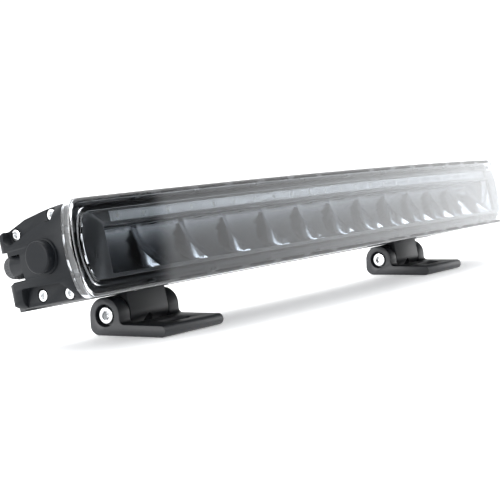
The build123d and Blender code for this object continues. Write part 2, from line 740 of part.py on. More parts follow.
# ---- Feet: slide nut, block, clamp screw, clevis foot, pivot screws and washers -------------
washer = 0.5
washer_radius = EAR_RADIUS - 1
block_half = FOOT_WIDTH / 2 - EAR_THICKNESS - washer - SEAT
block_top = -BODY_HALF_HEIGHT - CLEAR
notch_reach = EAR_RADIUS + 2.2
nut_length = 26.0
nut_width = CHANNEL_CHAMBER - 4 * CLEAR
nut_height = CHANNEL_HEIGHT - 3 * CLEAR
clamp_seat = 5.0  # block metal above the clamp screw's head
clamp_socket = 2.5
head_clear = 0.3
screw_reach = 10.0  # pivot screw in the block
pivot_head_sunk = 1.0
pivot_socket = 2.8
past_block = 30.0
near = 0.01  # for picking corners

for side, name in SIDES:
    pivot = place(side * FOOT_ARC, PIVOT_DEPTH, -PIVOT_DROP)
    foot_plane = Plane(pivot, x_dir=(0, 1, 0), z_dir=(1, 0, 0))
    block_plane = Plane(pivot, x_dir=BAR.y_dir, z_dir=(1, 0, 0))
    clamp_top = upward(side * FOOT_ARC, CHANNEL_DEPTH, CHANNEL_LIP_TOP + CLEAR)

    with BuildPart() as slide_nut:
        with BuildSketch(clamp_top):
            Rectangle(nut_width, nut_length)
        extrude(amount=nut_height)
        with BuildSketch(clamp_top):
            Circle(SCREW_M5 / 2)
        extrude(amount=CHANNEL_HEIGHT, mode=Mode.SUBTRACT)
    save(slide_nut, f"slide_nut_{name}")

    with BuildPart() as mounting_block:
        with BuildSketch(block_plane):
            Circle(EAR_RADIUS)
            rectangle(-EAR_RADIUS, EAR_RADIUS, 0, PIVOT_DROP + block_top)
        extrude(amount=block_half, both=True)
        with BuildSketch(block_plane):
            Circle(SCREW_M5 / 2)
        extrude(amount=block_half, both=True, mode=Mode.SUBTRACT)
        with BuildSketch(upward(side * FOOT_ARC, CHANNEL_DEPTH, block_top)):
            Circle(SCREW_M5 / 2 + CLEAR)
        extrude(amount=past_block, both=True, mode=Mode.SUBTRACT)
        with BuildSketch(upward(side * FOOT_ARC, CHANNEL_DEPTH, block_top - clamp_seat)):
            Circle(SCREW_M5_HEAD / 2 + head_clear)
        extrude(amount=-past_block, mode=Mode.SUBTRACT)
    save(mounting_block, f"mounting_block_{name}")

    with BuildPart() as clamp_screw:
        with BuildSketch(upward(side * FOOT_ARC, CHANNEL_DEPTH, block_top - clamp_seat)):
            Circle(SCREW_M5_HEAD / 2)
        extrude(amount=-SCREW_M5)
        with BuildSketch(upward(side * FOOT_ARC, CHANNEL_DEPTH, block_top - clamp_seat)):
            Circle(SCREW_M5 / 2)
        extrude(amount=CHANNEL_LIP_TOP + CHANNEL_HEIGHT - 2 * CLEAR - block_top + clamp_seat)
        with BuildSketch(upward(side * FOOT_ARC, CHANNEL_DEPTH, block_top - clamp_seat - SCREW_M5)):
            RegularPolygon(SCREW_M5_HEAD / 4, 6)
        extrude(amount=clamp_socket, mode=Mode.SUBTRACT)
    save(clamp_screw, f"clamp_screw_{name}")

    with BuildPart() as foot:
        with BuildSketch(foot_plane) as profile:
            with BuildLine():
                Polyline(
                    (-FOOT_REACH, -PIVOT_HEIGHT),
                    (EAR_RADIUS, -PIVOT_HEIGHT),
                    (EAR_RADIUS, 0),
                    (-EAR_RADIUS, 0),
                    (-EAR_RADIUS, -PIVOT_HEIGHT + FOOT_THICKNESS),
                    (-FOOT_REACH, -PIVOT_HEIGHT + FOOT_THICKNESS),
                    close=True,
                )
            make_face()
            Circle(EAR_RADIUS)
            corners = profile.vertices()
            nose = corners.group_by(Axis.X)[0]
            fillet(nose, radius=NOSE_RADIUS)
            heel = profile.vertices().filter_by(lambda at: at.X > 0 and at.Y < -PIVOT_HEIGHT + near)
            fillet(heel, radius=EAR_HEEL)
            throat = profile.vertices().filter_by(
                lambda at: abs(at.X + EAR_RADIUS) < near and at.Y < -PIVOT_HEIGHT + FOOT_THICKNESS + near
            )
            fillet(throat, radius=EAR_FILLET)
        extrude(amount=FOOT_WIDTH / 2, both=True)
        with BuildSketch(foot_plane):
            rectangle(-notch_reach, EAR_RADIUS + 1, -PIVOT_HEIGHT - 1, EAR_RADIUS + 1)
        extrude(amount=FOOT_WIDTH / 2 - EAR_THICKNESS, both=True, mode=Mode.SUBTRACT)
        with BuildSketch(foot_plane):
            Circle(SCREW_M5 / 2 + CLEAR)
        extrude(amount=FOOT_WIDTH / 2, both=True, mode=Mode.SUBTRACT)
        for face_side in (-1, 1):
            with BuildSketch(foot_plane.offset(face_side * FOOT_WIDTH / 2)):
                Circle(COUNTERBORE / 2)
            extrude(amount=-face_side * COUNTERBORE_DEPTH, mode=Mode.SUBTRACT)
        with BuildSketch(Plane(pivot - Vector(0, SLOT_AHEAD, PIVOT_HEIGHT))):
            SlotOverall(SLOT_LENGTH, SLOT_WIDTH)
        extrude(amount=FOOT_THICKNESS, mode=Mode.SUBTRACT)
    save(foot, f"foot_{name}")

    head_seat = FOOT_WIDTH / 2 - COUNTERBORE_DEPTH + SEAT
    with BuildPart() as pivot_screws:
        for face_side in (-1, 1):
            with BuildSketch(foot_plane.offset(face_side * head_seat)):
                Circle(SCREW_M5_HEAD / 2)
            extrude(amount=face_side * (COUNTERBORE_DEPTH - SEAT - pivot_head_sunk))
            with BuildSketch(foot_plane.offset(face_side * head_seat)):
                Circle(SCREW_M5 / 2)
            extrude(amount=-face_side * (head_seat - block_half + screw_reach))
            with BuildSketch(foot_plane.offset(face_side * (FOOT_WIDTH / 2 - pivot_head_sunk))):
                RegularPolygon(SCREW_M5_HEAD / 4, 6)
            extrude(amount=-face_side * pivot_socket, mode=Mode.SUBTRACT)
    save(pivot_screws, f"pivot_screws_{name}")

    with BuildPart() as washers:
        for face_side in (-1, 1):
            with BuildSketch(foot_plane.offset(face_side * block_half)):
                Circle(washer_radius)
                Circle(SCREW_M5 / 2, mode=Mode.SUBTRACT)
            extrude(amount=face_side * washer)
    save(washers, f"washers_{name}")
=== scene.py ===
"""Finishes, fasteners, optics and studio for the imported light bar.

The bar is bent in plan. A piece on it is first laid out straight, in metres:
x along the lens front line, y back from the lens front, z above the bar's mid plane.
bend_onto_bar() then puts it in place.
"""

import math

import bmesh
import bpy
from mathutils import Matrix, Vector


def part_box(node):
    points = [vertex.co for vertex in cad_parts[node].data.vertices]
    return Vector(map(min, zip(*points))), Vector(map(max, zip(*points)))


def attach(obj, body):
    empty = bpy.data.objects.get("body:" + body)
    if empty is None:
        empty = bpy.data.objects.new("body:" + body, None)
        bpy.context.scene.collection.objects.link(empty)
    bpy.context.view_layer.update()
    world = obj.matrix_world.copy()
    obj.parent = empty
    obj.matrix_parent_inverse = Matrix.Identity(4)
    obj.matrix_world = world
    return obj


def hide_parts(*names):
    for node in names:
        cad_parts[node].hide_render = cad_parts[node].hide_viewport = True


bl_info = {
    "name": "Light Bar Finish",
    "version": (1, 0, 0),
    "blender": (4, 5, 0),
    "location": "3D View > Sidebar > Light Bar",
    "description": "Finishes, fasteners, optics and studio for the packed light bar",
    "category": "Object",
}

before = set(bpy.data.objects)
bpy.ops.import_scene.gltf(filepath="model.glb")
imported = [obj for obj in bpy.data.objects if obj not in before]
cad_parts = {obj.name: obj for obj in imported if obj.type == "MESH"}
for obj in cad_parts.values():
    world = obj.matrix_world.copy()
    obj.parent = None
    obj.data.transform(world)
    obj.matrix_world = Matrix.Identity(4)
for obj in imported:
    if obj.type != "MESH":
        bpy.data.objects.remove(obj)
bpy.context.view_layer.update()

MM = 0.001
SIDES = ((-1, "left"), (1, "right"))

# ---- The bar's arc ---------------------------------------------------------------------
ARC_RADIUS = 2290 * MM
TILT = math.radians(11)
LENS_FRONT_Y = -32.36 * MM
FOOT_ARC = 157 * MM
PIVOT_DEPTH = 55.7 * MM
PIVOT_DROP = 31.7 * MM
PIVOT_HEIGHT = 10 * MM

pivot_back = ARC_RADIUS - (ARC_RADIUS - PIVOT_DEPTH) * math.cos(FOOT_ARC / ARC_RADIUS)
bar_height = PIVOT_HEIGHT + pivot_back * math.sin(TILT) + PIVOT_DROP * math.cos(TILT)
BAR = Matrix.Translation((0, LENS_FRONT_Y, bar_height)) @ Matrix.Rotation(-TILT, 4, "X")

# ---- Places on the bar -----------------------------------------------------------------
CAP_SCREWS = ((18.2, 18.2), (43.8, 13.4), (34.2, -17.0), (16.8, -18.6))  # depth, height
CAP_SCREW_ARC = 241 * MM
PLUG_ARC = 251.2 * MM
PLUG_RADIUS = 7.6 * MM
PLUG_HEIGHT = 4.4 * MM
PLUG_SHANK_RADIUS = 3.9 * MM
PLUG_SHANK_LENGTH = 4.5 * MM
PLUG_DEPTH = 21.5 * MM
GLAND_ARC = 243.4 * MM
GLAND_BACK = 46.2 * MM
GLAND_HEIGHT = -1 * MM
GLAND_COLLAR = 1 * MM
GLAND_RADIUS = 5.6 * MM
GLAND_RIDGES = 24
CELL_COUNT = 12
CELL_PITCH = 38 * MM
LED_DEPTH = 22.2 * MM
LED_BOARD_BOTTOM = 9.6 * MM
GUIDE_HALF_LENGTH = 222.5 * MM
GUIDE_HEIGHT = 4.8 * MM
GUIDE_FRONT = 3.4 * MM
GUIDE_DEPTH = 4.4 * MM
GUIDE_BOTTOM = 10.2 * MM
CLAMP_DEPTH = 51.5 * MM
CLAMP_SEAT = -27.4 * MM
LED_WIDTH = 3.4 * MM
CLIP_SIZE = (2.6 * MM, 3.3 * MM, 1.5 * MM)
CLIP_COUNT = 9
CLIP_DEPTH = 6.15 * MM
CLIP_HEIGHT = 19.9 * MM
END_CLIP_SIZE = (1.5 * MM, 3.3 * MM, 3.6 * MM)
END_CLIP_ARC = 246.4 * MM
END_CLIP_HEIGHTS = (9.5 * MM, -10.6 * MM)
CLIP_EASE = 0.3 * MM

# Socket head screws, without the width of their keys.
CAP_SCREW = {
    "head": 5.5 * MM, "head_height": 3 * MM,
    "shank": 3 * MM, "length": 13 * MM, "socket_depth": 1.6 * MM,
}
PIVOT_SCREW = {
    "head": 8.5 * MM, "head_height": 4.5 * MM,
    "shank": 5 * MM, "length": 14 * MM, "socket_depth": 2.6 * MM,
}
CLAMP_SCREW = {
    "head": 8.5 * MM, "head_height": 5 * MM,
    "shank": 5 * MM, "length": 12.5 * MM, "socket_depth": 2.5 * MM,
}
SCREW_RIDGES = 24


# ---- Mesh helpers ----------------------------------------------------------------------
def on_bar(arc, depth, height):
    """Where a point of the straight layout lies on the bent bar."""
    turn = arc / ARC_RADIUS
    reach = ARC_RADIUS - depth
    return BAR @ Vector((reach * math.sin(turn), ARC_RADIUS - reach * math.cos(turn), height))


def section(arc, depth, height):
    """Frame at a point of the bar: X along the arc, Y back, Z up."""
    turned = Matrix.Rotation(arc / ARC_RADIUS, 4, "Z")
    at = Matrix.Translation(on_bar(arc, depth, height))
    return at @ BAR.to_3x3().to_4x4() @ turned


def bend_onto_bar(bm):
    for vert in bm.verts:
        vert.co = on_bar(*vert.co)


ROUND_STEPS = 96  # of the shapes that show as circles


def lathe(profile, steps=48):
    """A bmesh of (radius, height) points turned about Z, with poles closed."""
    bm = bmesh.new()
    points = [bm.verts.new((radius, 0, height)) for radius, height in profile]
    edges = [bm.edges.new(pair) for pair in zip(points, points[1:])]
    bmesh.ops.spin(
        bm, geom=points + edges, cent=(0, 0, 0), axis=(0, 0, 1),
        angle=math.tau, steps=steps, use_merge=True,
    )
    bmesh.ops.remove_doubles(bm, verts=bm.verts, dist=1e-7)
    return bm


def add_shape(bm, shape, where):
    """Adds a second bmesh to the first, moved by the matrix, and frees it."""
    bmesh.ops.transform(shape, matrix=where, verts=shape.verts)
    mesh = bpy.data.meshes.new("shape")
    shape.to_mesh(mesh)
    shape.free()
    bm.from_mesh(mesh)
    bpy.data.meshes.remove(mesh)


def rib(verts, axis_radius, count, depth):
    """Presses grooves into the outside of a turned shape."""
    for vert in verts:
        radius = math.hypot(vert.co.x, vert.co.y)
        if radius < axis_radius:
            continue
        wave = math.cos(count * math.atan2(vert.co.y, vert.co.x))
        if wave < 0:
            shrink = 1 - depth / radius
            vert.co.x *= shrink
            vert.co.y *= shrink


def rounded_box(size, radius, segments=2):
    """A bmesh of a box with rounded edges, round the origin."""
    bm = bmesh.new()
    bmesh.ops.create_cube(bm, size=1)
    bmesh.ops.scale(bm, vec=size, verts=bm.verts)
    bmesh.ops.bevel(
        bm, geom=bm.edges[:], offset=radius, offset_type="OFFSET", segments=segments,
        profile=0.5, affect="EDGES", clamp_overlap=True, material=-1,
    )
    return bm


def socket_screw(key, head, head_height, shank, length, socket_depth):
    """A bmesh of a socket head screw along +Z, with its head's seat at the origin."""
    chamfer = 0.06 * head
    mouth = head_height - 0.04 * head
    ridge_depth = 0.02 * head
    bm = lathe((
        (0.62 * key, head_height),
        (head / 2 - chamfer, head_height),
        (head / 2 - 0.3 * chamfer, head_height - 0.3 * chamfer),
        (head / 2, head_height - chamfer),
        (head / 2, 0.4 * chamfer),
        (head / 2 - 0.4 * chamfer, 0),
        (shank / 2, 0),
        (shank / 2, -length + 0.12 * shank),
        (0.38 * shank, -length),
        (0, -length),
    ))
    rim = [edge for edge in bm.edges if edge.is_boundary]
    side = [vert for vert in bm.verts if 0.3 * chamfer < vert.co.z < head_height - 0.9 * chamfer]
    rib(side, head / 2 - 1e-6, SCREW_RIDGES, ridge_depth)
    hexagon = bmesh.ops.create_circle(
        bm, cap_ends=False, segments=6, radius=key / math.sqrt(3),
        matrix=Matrix.Translation((0, 0, mouth)),
    )["verts"]
    sides = list({edge for vert in hexagon for edge in vert.link_edges})
    bmesh.ops.subdivide_edges(bm, edges=sides, cuts=7)
    wall = [edge for edge in bm.edges if edge.is_wire]
    bmesh.ops.bridge_loops(bm, edges=rim + wall)
    deep = bmesh.ops.extrude_edge_only(bm, edges=wall)["geom"]
    floor_verts = [item for item in deep if isinstance(item, bmesh.types.BMVert)]
    bmesh.ops.translate(bm, vec=(0, 0, -socket_depth), verts=floor_verts)
    floor_edges = [edge for edge in bm.edges if edge.is_boundary]
    floor_faces = bmesh.ops.contextual_create(bm, geom=floor_edges)["faces"]
    centre = bmesh.ops.poke(bm, faces=floor_faces)["verts"]
    bmesh.ops.translate(bm, vec=(0, 0, -0.12 * key), verts=centre)
    return bm


def facing(arc, depth, height, direction):
    """Frame whose Z looks outwards along the arc (direction -1 or 1), for a screw or plug."""
    return section(arc, depth, height) @ Matrix.Rotation(direction * math.pi / 2, 4, "Y")


def backwards(arc, depth, height):
    """Frame whose Z looks to the back of the bar."""
    return section(arc, depth, height) @ Matrix.Rotation(-math.pi / 2, 4, "X")


def finish_piece(bm, name, body, finish, stands_for=(), sharp=35):
    """Makes the piece from its bmesh, with its body, slot, finish and shading."""
    bmesh.ops.recalc_face_normals(bm, faces=bm.faces)
    mesh = bpy.data.meshes.new(name)
    bm.to_mesh(mesh)
    bm.free()
    piece = bpy.data.objects.new(name, mesh)
    bpy.context.scene.collection.objects.link(piece)
    mesh.materials.append(finish)
    mesh.shade_smooth()
    mesh.set_sharp_from_angle(angle=math.radians(sharp))
    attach(piece, body)
    if stands_for:
        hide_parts(*stands_for)
    return piece


def eased_copy(node, name, body, finish, width, segments=2, sharp=35):
    """The node's shape with its sharp edges rounded."""
    bm = bmesh.new()
    bm.from_mesh(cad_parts[node].data)
    bmesh.ops.remove_doubles(bm, verts=bm.verts, dist=2e-6)
    bmesh.ops.dissolve_degenerate(bm, dist=2e-6, edges=bm.edges)
    bmesh.ops.dissolve_limit(
        bm, angle_limit=math.radians(0.6), verts=bm.verts, edges=bm.edges,
        use_dissolve_boundaries=False,
    )
    hard = [
        edge for edge in bm.edges
        if edge.is_manifold and edge.calc_face_angle(0) > math.radians(sharp)
    ]
    bmesh.ops.bevel(
        bm, geom=hard, offset=width, offset_type="OFFSET", segments=segments, profile=0.5,
        affect="EDGES", clamp_overlap=True, material=-1, loop_slide=True, miter_outer="SHARP",
    )
    return finish_piece(bm, name, body, finish, (node,), sharp)


# ---- Finishes --------------------------------------------------------------------------
class Signal:
    """A shader output. Arithmetic on it adds the Math nodes."""

    def __init__(self, finish, socket):
        self.finish = finish
        self.socket = socket

    def math(self, operation, *inputs):
        return self.finish.node("ShaderNodeMath", {"operation": operation}, dict(enumerate(inputs)))

    def __add__(self, other):
        return self.math("ADD", self, other)

    __radd__ = __add__

    def __sub__(self, other):
        return self.math("SUBTRACT", self, other)

    def __rsub__(self, other):
        return self.math("SUBTRACT", other, self)

    def __mul__(self, other):
        return self.math("MULTIPLY", self, other)

    __rmul__ = __mul__

    def __gt__(self, other):
        return self.math("GREATER_THAN", self, other)


class Finish:
    """A material or a world, and the nodes that make it."""

    def __init__(self, owner, output="ShaderNodeOutputMaterial"):
        owner.use_nodes = True
        self.owner = owner
        self.tree = owner.node_tree
        self.tree.nodes.clear()
        self.output = self.tree.nodes.new(output)

    def node(self, kind, settings=None, inputs=None, output=0):
        """Adds a node: first its settings, then the values or links of its sockets."""
        added = self.tree.nodes.new(kind)
        for key, value in (settings or {}).items():
            if key == "stops":
                ramp = added.color_ramp
                while len(ramp.elements) < len(value):
                    ramp.elements.new(0.5)
                for element, (position, tone) in zip(ramp.elements, value):
                    element.position = position
                    element.color = (*tone, 1) if isinstance(tone, tuple) else (tone, tone, tone, 1)
            else:
                setattr(added, key, value)
        for key, value in (inputs or {}).items():
            if isinstance(value, Signal):
                self.tree.links.new(value.socket, added.inputs[key])
            else:
                added.inputs[key].default_value = value
        return Signal(self, added.outputs[output])

    def place(self):
        return self.node("ShaderNodeTexCoord", output="Object")

    def stretched(self, scale):
        """Object coordinates, scaled by axis."""
        return self.node("ShaderNodeMapping", inputs={"Vector": self.place(), "Scale": scale})

    def noise(self, scale, detail=3.0, vector=None):
        return self.node(
            "ShaderNodeTexNoise",
            inputs={"Vector": vector or self.place(), "Scale": scale, "Detail": detail},
        )

    def cells(self, scale, vector=None):
        return self.node(
            "ShaderNodeTexVoronoi", inputs={"Vector": vector or self.place(), "Scale": scale},
        )

    def ramp(self, amount, *stops):
        return self.node("ShaderNodeValToRGB", {"stops": stops}, {0: amount})

    def between(self, amount, low, high):
        """Mixes two colours."""
        return self.node(
            "ShaderNodeMix", {"data_type": "RGBA"},
            {0: amount, 6: (*low, 1) if isinstance(low, tuple) else low,
             7: (*high, 1) if isinstance(high, tuple) else high},
            output=2,
        )

    def bump(self, height, distance, strength=1.0):
        return self.node(
            "ShaderNodeBump", inputs={"Height": height, "Distance": distance, "Strength": strength},
        )

    def surface(self, **inputs):
        """The principled shader, with words_like_this for its sockets."""
        shader = self.node(
            "ShaderNodeBsdfPrincipled",
            inputs={key.replace("_", " "): value for key, value in inputs.items()},
        )
        self.tree.links.new(shader.socket, self.output.inputs["Surface"])
        return self.owner


def material(name):
    return Finish(bpy.data.materials.new(name))


def powder_coat(name, dark, light, roughness, grain=0.000025, sheen=0.5):
    """Matt paint over metal: fine orange peel, faint cloudiness."""
    finish = material(name)
    cloud = finish.noise(26, 4)
    peel = finish.noise(1500, 2)
    speck = finish.cells(3400)
    return finish.surface(
        Base_Color=finish.between(cloud * 0.7 + peel * 0.3, dark, light),
        Roughness=roughness - 0.05 + cloud * 0.1 + peel * 0.06,
        Normal=finish.bump(peel * 0.8 + speck * 0.2, grain, 0.7),
        Specular_IOR_Level=sheen,
    )


def rubber(name, dark, light, roughness):
    """Moulded rubber with a bloom and a fine grain."""
    finish = material(name)
    bloom = finish.noise(60, 5)
    grain = finish.noise(2600, 2)
    return finish.surface(
        Base_Color=finish.between(finish.ramp(bloom, (0.35, 0.0), (0.75, 1.0)), dark, light),
        Roughness=roughness - 0.08 + bloom * 0.16,
        Normal=finish.bump(grain, 0.00002, 0.6),
    )


def moulded(name, dark, light, roughness, texture=1900, depth=0.000012, sheen=0.5):
    """Moulded plastic with a spark-eroded texture and slight flow marks."""
    finish = material(name)
    flow = finish.noise(9, 3, finish.stretched((1, 5, 5)))
    spark = finish.noise(texture, 2)
    return finish.surface(
        Base_Color=finish.between(flow, dark, light),
        Roughness=roughness - 0.05 + flow * 0.06 + spark * 0.06,
        Normal=finish.bump(spark, depth, 0.6),
        Specular_IOR_Level=sheen,
    )


def plated(name, dark, light, roughness, scale=700):
    """Zinc or nickel plate: bright, with faint mottling and fine scratches."""
    finish = material(name)
    mottle = finish.noise(scale, 4)
    scratch = finish.noise(500, 2, finish.stretched((1, 1, 14)))
    return finish.surface(
        Base_Color=finish.between(mottle, dark, light),
        Metallic=1.0,
        Roughness=roughness - 0.04 + mottle * 0.1 + scratch * 0.05,
        Normal=finish.bump(scratch, 0.000006, 0.5),
    )


def make_finishes():
    """Every finish, by its slot in the record."""
    made = {}
    made["black_housing"] = powder_coat(
        "housing_paint", (0.016, 0.0175, 0.02), (0.03, 0.032, 0.036), 0.42)
    made["black_cast"] = powder_coat(
        "cast_paint", (0.0045, 0.0055, 0.007), (0.009, 0.0105, 0.0125), 0.36, 0.00004, 0.14)
    made["black_foot"] = powder_coat("foot_paint", (0.011, 0.012, 0.0145), (0.021, 0.023, 0.027), 0.4)
    made["black_rubber"] = rubber("black_rubber", (0.012, 0.012, 0.013), (0.026, 0.026, 0.028), 0.6)
    made["washer_plastic"] = moulded("washer_nylon", (0.02, 0.02, 0.021), (0.03, 0.03, 0.031), 0.4)
    made["gland_plastic"] = moulded("gland_nylon", (0.014, 0.015, 0.017), (0.03, 0.032, 0.035), 0.42)
    made["plug_plastic"] = moulded(
        "plug_nylon", (0.004, 0.005, 0.0065), (0.008, 0.009, 0.011), 0.36, sheen=0.14)
    made["black_bezel"] = moulded("bezel_plastic", (0.008, 0.009, 0.011), (0.016, 0.018, 0.021), 0.3)
    made["chip_plastic"] = moulded("chip_epoxy", (0.012, 0.012, 0.012), (0.02, 0.02, 0.02), 0.5)
    made["connector_plastic"] = moulded("connector_nylon", (0.62, 0.6, 0.55), (0.72, 0.7, 0.66), 0.42)
    made["coil_ferrite"] = moulded("coil_ferrite", (0.045, 0.043, 0.04), (0.075, 0.072, 0.068), 0.55)
    made["wire_red"] = moulded("wire_red_jacket", (0.4, 0.01, 0.008), (0.52, 0.02, 0.015), 0.38)
    made["wire_black"] = moulded(
        "wire_black_jacket", (0.012, 0.012, 0.012), (0.022, 0.022, 0.022), 0.38)
    made["thermal_pad"] = rubber("thermal_pad", (0.34, 0.42, 0.5), (0.42, 0.5, 0.58), 0.7)
    made["zinc_screw"] = plated("zinc_screw", (0.7, 0.71, 0.72), (0.86, 0.87, 0.88), 0.22)
    made["steel_zinc"] = plated("steel_zinc", (0.5, 0.51, 0.52), (0.66, 0.67, 0.68), 0.34)
    made["capacitor_can"] = plated("capacitor_can", (0.55, 0.56, 0.58), (0.7, 0.71, 0.73), 0.3)

    chrome = material("reflector_chrome")
    ripple = chrome.noise(140, 2)
    haze = chrome.noise(34, 4)
    made["reflector_chrome"] = chrome.surface(
        Base_Color=chrome.between(haze, (0.62, 0.65, 0.69), (0.72, 0.745, 0.78)),
        Metallic=1.0,
        Roughness=0.07 + haze * 0.08,
        Normal=chrome.bump(ripple, 0.00006, 0.35),
    )

    board = material("circuit_board")
    mask = board.noise(900, 2)
    tracks = board.cells(160, board.stretched((1, 1.6, 1.6)))
    copper = tracks > 0.42
    made["circuit_board"] = board.surface(
        Base_Color=board.between(copper, (0.7, 0.71, 0.7), (0.8, 0.8, 0.78)),
        Roughness=0.3 + mask * 0.12,
        Normal=board.bump(copper, 0.00003, 0.5),
    )

    black_board = material("black_board")
    weave = black_board.noise(1400, 2)
    made["black_board"] = black_board.surface(
        Base_Color=black_board.between(weave, (0.008, 0.009, 0.01), (0.016, 0.018, 0.02)),
        Roughness=0.32 + weave * 0.12,
    )

    emitter = material("led_ceramic")
    grain = emitter.noise(1200, 3)
    made["led_emitter"] = emitter.surface(
        Base_Color=emitter.between(grain, (0.78, 0.77, 0.7), (0.88, 0.87, 0.8)),
        Roughness=0.36 + grain * 0.14,
    )

    phosphor = material("led_phosphor")
    powder = phosphor.noise(3000, 3)
    made["phosphor"] = phosphor.surface(
        Base_Color=phosphor.between(powder, (0.8, 0.6, 0.08), (0.9, 0.72, 0.16)),
        Roughness=0.3 + powder * 0.2,
        Coat_Weight=0.4,
    )

    guide = material("light_guide_acrylic")
    fog = guide.noise(90, 3)
    made["light_guide"] = guide.surface(
        Base_Color=guide.between(fog, (0.86, 0.9, 0.94), (0.93, 0.95, 0.97)),
        Roughness=0.12 + fog * 0.1,
        IOR=1.49,
        Transmission_Weight=0.82,
    )

    lens = material("clear_polycarbonate")
    wipe = lens.noise(22, 5)
    made["lens"] = lens.surface(
        Base_Color=lens.between(wipe, (0.93, 0.962, 0.995), (0.955, 0.978, 1.0)),
        Roughness=wipe * 0.025,
        IOR=1.58,
        Transmission_Weight=1.0,
    )
    return made


FINISHES = {}

CAD_SLOTS = {
    "lens": "lens",
    "lens_gasket": "black_rubber",
    "gland_seal": "black_rubber",
    "cap_gasket_left": "black_rubber",
    "cap_gasket_right": "black_rubber",
    "led_mask": "black_bezel",
    "led_board": "circuit_board",
    "position_board": "black_board",
    "driver_board": "circuit_board",
    "position_leds": "led_emitter",
    "thermal_pad": "thermal_pad",
    "driver_coils": "coil_ferrite",
    "driver_capacitors": "capacitor_can",
    "driver_chip": "chip_plastic",
    "wire_connector": "connector_plastic",
    "wire_red": "wire_red",
    "wire_black": "wire_black",
    "gland_body": "gland_plastic",
    "slide_nut_left": "steel_zinc",
    "slide_nut_right": "steel_zinc",
    "washers_left": "washer_plastic",
    "washers_right": "washer_plastic",
}


# ---- Settings --------------------------------------------------------------------------
class LightBarShape(bpy.types.PropertyGroup):
    edge_ease: bpy.props.FloatProperty(
        name="Edge ease", description="Rounding of the painted metal's edges",
        default=0.5 * MM, min=0, unit="LENGTH",
    )
    guide_rib_pitch: bpy.props.FloatProperty(
        name="Rib pitch", description="Distance between the light guide's ribs",
        default=1.4 * MM, min=0.5 * MM, unit="LENGTH",
    )
    guide_rib_depth: bpy.props.FloatProperty(
        name="Rib depth", description="How deep the light guide's ribs are",
        default=0.8 * MM, min=0, unit="LENGTH",
    )
    clip_spacing: bpy.props.FloatProperty(
        name="Clip spacing", description="Distance between the clips that hold the lens",
        default=50 * MM, min=5 * MM, unit="LENGTH",
    )
    screw_key_m3: bpy.props.FloatProperty(
        name="M3 key", description="Width across flats of the end cap screws' sockets",
        default=2.5 * MM, min=0.5 * MM, unit="LENGTH",
    )
    screw_key_m5: bpy.props.FloatProperty(
        name="M5 key", description="Width across flats of the pivot and clamp screws' sockets",
        default=4 * MM, min=0.5 * MM, unit="LENGTH",
    )


class LightBarStudio(bpy.types.PropertyGroup):
    backdrop: bpy.props.FloatVectorProperty(
        name="Backdrop", description="Colour of the floor and of what is behind",
        default=(0.9, 0.905, 0.91), size=3, min=0, max=1, subtype="COLOR",
    )
    surround: bpy.props.FloatProperty(
        name="Surround", description="Brightness of the studio's pale walls", default=1.0, min=0,
    )
    seen: bpy.props.FloatProperty(
        name="Seen backdrop", description="Brightness of the walls where the camera sees them",
        default=1.1, min=0,
    )
    floor_glow: bpy.props.FloatProperty(
        name="Floor glow", description="Light the floor gives off, which thins the shadows",
        default=0.28, min=0,
    )
    flag: bpy.props.FloatProperty(
        name="Flag", description="Brightness of the dark side that faces the lens", default=0.03, min=0,
    )
    focal_length: bpy.props.FloatProperty(
        name="Focal length", description="Camera lens, in millimetres", default=108.5, min=1,
    )


# ---- Pieces ----------------------------------------------------------------------------
class LIGHTBAR_OT_cad_finishes(bpy.types.Operator):
    """Finish the frame's own pieces that keep their shape"""

    bl_idname = "lightbar.cad_finishes"
    bl_label = "Frame Finishes"

    def execute(self, context):
        FINISHES.update(make_finishes())
        for node, slot in CAD_SLOTS.items():
            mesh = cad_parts[node].data
            mesh.materials.clear()
            mesh.materials.append(FINISHES[slot])
        return {"FINISHED"}


class LIGHTBAR_OT_castings(bpy.types.Operator):
    """Round the edges of the housing, end caps, bezel, blocks and feet"""

    bl_idname = "lightbar.castings"
    bl_label = "Castings"

    def execute(self, context):
        ease = context.scene.light_bar_shape.edge_ease
        eased_copy("housing", "housing_casting", "light_bar",
                   FINISHES["black_housing"], 0.6 * ease)
        eased_copy("bezel", "bezel_frame", "light_bar",
                   FINISHES["black_bezel"], 0.6 * ease)
        eased_copy("reflector", "reflector_bowls", "light_bar",
                   FINISHES["reflector_chrome"], 0.4 * ease)
        for _, side in SIDES:
            eased_copy(f"end_cap_{side}", f"end_cap_casting_{side}", "light_bar",
                       FINISHES["black_cast"], ease)
            eased_copy(f"mounting_block_{side}", f"mounting_block_body_{side}", f"slider_{side}",
                       FINISHES["black_foot"], ease)
            eased_copy(f"foot_{side}", f"foot_casting_{side}", f"foot_{side}",
                       FINISHES["black_foot"], ease)
        return {"FINISHED"}


